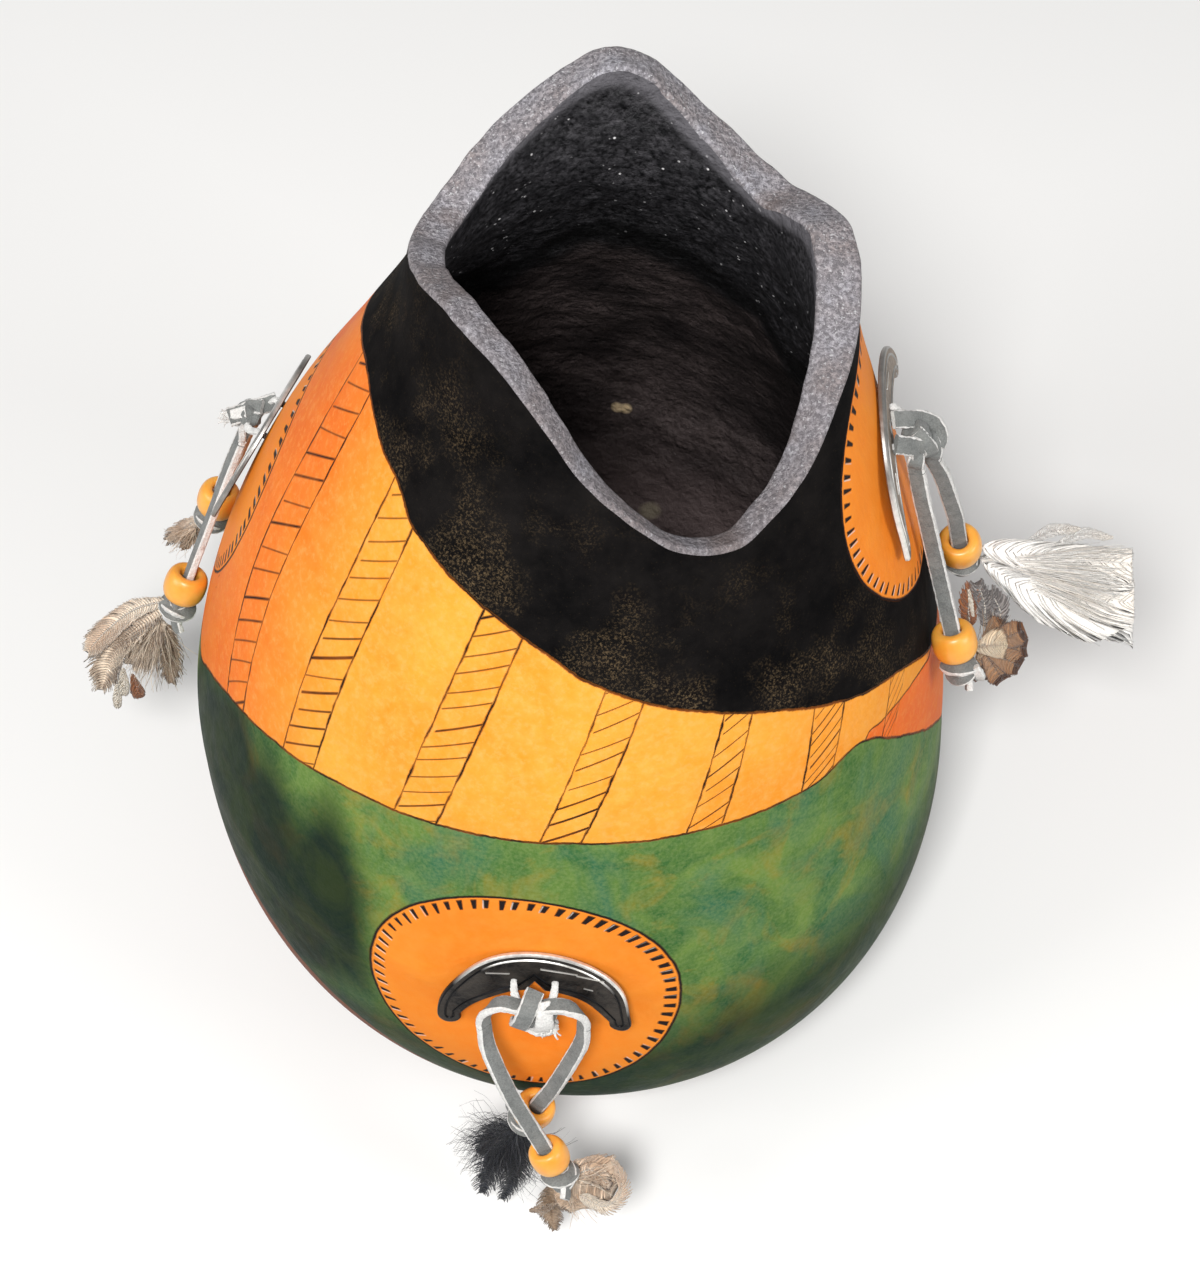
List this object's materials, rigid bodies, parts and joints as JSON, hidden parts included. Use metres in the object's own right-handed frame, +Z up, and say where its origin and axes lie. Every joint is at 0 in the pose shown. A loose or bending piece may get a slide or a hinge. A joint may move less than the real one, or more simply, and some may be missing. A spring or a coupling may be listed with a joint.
{
  "type": "decorative gourd",
  "caption": "Open gourd vessel with a wavy cut rim, painted bands and stitched medallions, and crescent plates laced on with suede tails that carry beads and feathers.",
  "frame": {"origin": "middle of the flat foot, on the surface it stands on", "axes": "+Z up; -Y towards the side with the front crescent, -X and +X towards the side crescents"},
  "size_m": [0.2096, 0.1801, 0.1908],
  "materials": {
    "gourd": "hard-shelled gourd, painted orange, green and terracotta over the natural skin, with a matte black band above; unpainted black inside",
    "pewter": "dark pewter with a polished raised border",
    "suede": "grey suede lace with pale cut edges",
    "bead": "glossy opaque orange",
    "feather_tan": "tan feather with a white shaft",
    "feather_black": "fluffy black feather",
    "feather_brown": "brown feather tips with dark edges",
    "feather_white": "white feather with a squared end",
    "feather_grey": "grey and tan feathers with white and chestnut tips",
    "feather_small": "small tan feather"
  },
  "bodies": {
    "gourd": {"gourd_shell": "gourd", "crescent_front": "pewter", "knot_front": "suede", "crescent_right": "pewter", "knot_right": "suede", "crescent_left": "pewter", "knot_left": "suede"},
    "tassel_front": {"lace_front_near": "suede", "stopper_front_near": "suede", "feathers_front_near": "feather_tan", "lace_front_rear": "suede", "stopper_front_rear": "suede", "feathers_front_rear": "feather_black"},
    "tassel_right_near": {"lace_right_near": "suede", "stopper_right_near": "suede", "feathers_right_near": "feather_brown"},
    "tassel_right_far": {"lace_right_far": "suede", "stopper_right_far": "suede", "feathers_right_far": "feather_white"},
    "tassel_left_near": {"lace_left_near": "suede", "stopper_left_near": "suede", "feathers_left_near": "feather_grey"},
    "tassel_left_far": {"lace_left_far": "suede", "stopper_left_far": "suede", "feathers_left_far": "feather_small"},
    "bead_front_near": {"bead_front_near": "bead"},
    "bead_front_rear": {"bead_front_rear": "bead"},
    "bead_right_near": {"bead_right_near": "bead"},
    "bead_right_far": {"bead_right_far": "bead"},
    "bead_left_near": {"bead_left_near": "bead"},
    "bead_left_far": {"bead_left_far": "bead"}
  },
  "joints": [
    {"name": "tassel_front_lift", "type": "hinge", "parent": "gourd", "child": "tassel_front", "pos_m": [-0.00841, -0.07192, 0.06928], "axis": [-1, -0.0021, -0.0006], "range_deg": [0, 60]},
    {"name": "tassel_right_near_lift", "type": "hinge", "parent": "gourd", "child": "tassel_right_near", "pos_m": [0.06211, 0.00968, 0.13468], "axis": [-0.0473, -0.9989, 0], "range_deg": [0, 60]},
    {"name": "tassel_right_far_lift", "type": "hinge", "parent": "gourd", "child": "tassel_right_far", "pos_m": [0.06542, 0.01328, 0.13348], "axis": [0.0003, -1, 0], "range_deg": [0, 60]},
    {"name": "tassel_left_near_lift", "type": "hinge", "parent": "gourd", "child": "tassel_left_near", "pos_m": [-0.06707, 0.03852, 0.10125], "axis": [0.3922, 0.9199, 0], "range_deg": [0, 60]},
    {"name": "tassel_left_far_lift", "type": "hinge", "parent": "gourd", "child": "tassel_left_far", "pos_m": [-0.06532, 0.04319, 0.10136], "axis": [0.4486, 0.8937, 0], "range_deg": [0, 60]},
    {"name": "bead_front_near_slide", "type": "slide", "parent": "tassel_front", "child": "bead_front_near", "axis": [-0.3607, 0.2704, 0.8926], "range_m": [0, 0.005]},
    {"name": "bead_front_rear_slide", "type": "slide", "parent": "tassel_front", "child": "bead_front_rear", "axis": [0.2754, -0.0683, 0.9589], "range_m": [0, 0.005]},
    {"name": "bead_right_near_slide", "type": "slide", "parent": "tassel_right_near", "child": "bead_right_near", "axis": [-0.2459, 0.3733, 0.8945], "range_m": [0, 0.005]},
    {"name": "bead_right_far_slide", "type": "slide", "parent": "tassel_right_far", "child": "bead_right_far", "axis": [-0.1665, -0.1423, 0.9757], "range_m": [0, 0.005]},
    {"name": "bead_left_near_slide", "type": "slide", "parent": "tassel_left_near", "child": "bead_left_near", "axis": [0.3608, 0.3545, 0.8626], "range_m": [0, 0.005]},
    {"name": "bead_left_far_slide", "type": "slide", "parent": "tassel_left_far", "child": "bead_left_far", "axis": [0.328, 0.1369, 0.9347], "range_m": [0, 0.005]}
  ],
  "couplings": [
    {"joint": "tassel_right_far_lift", "follows": "tassel_right_near_lift", "ratio": 1}
  ]
}
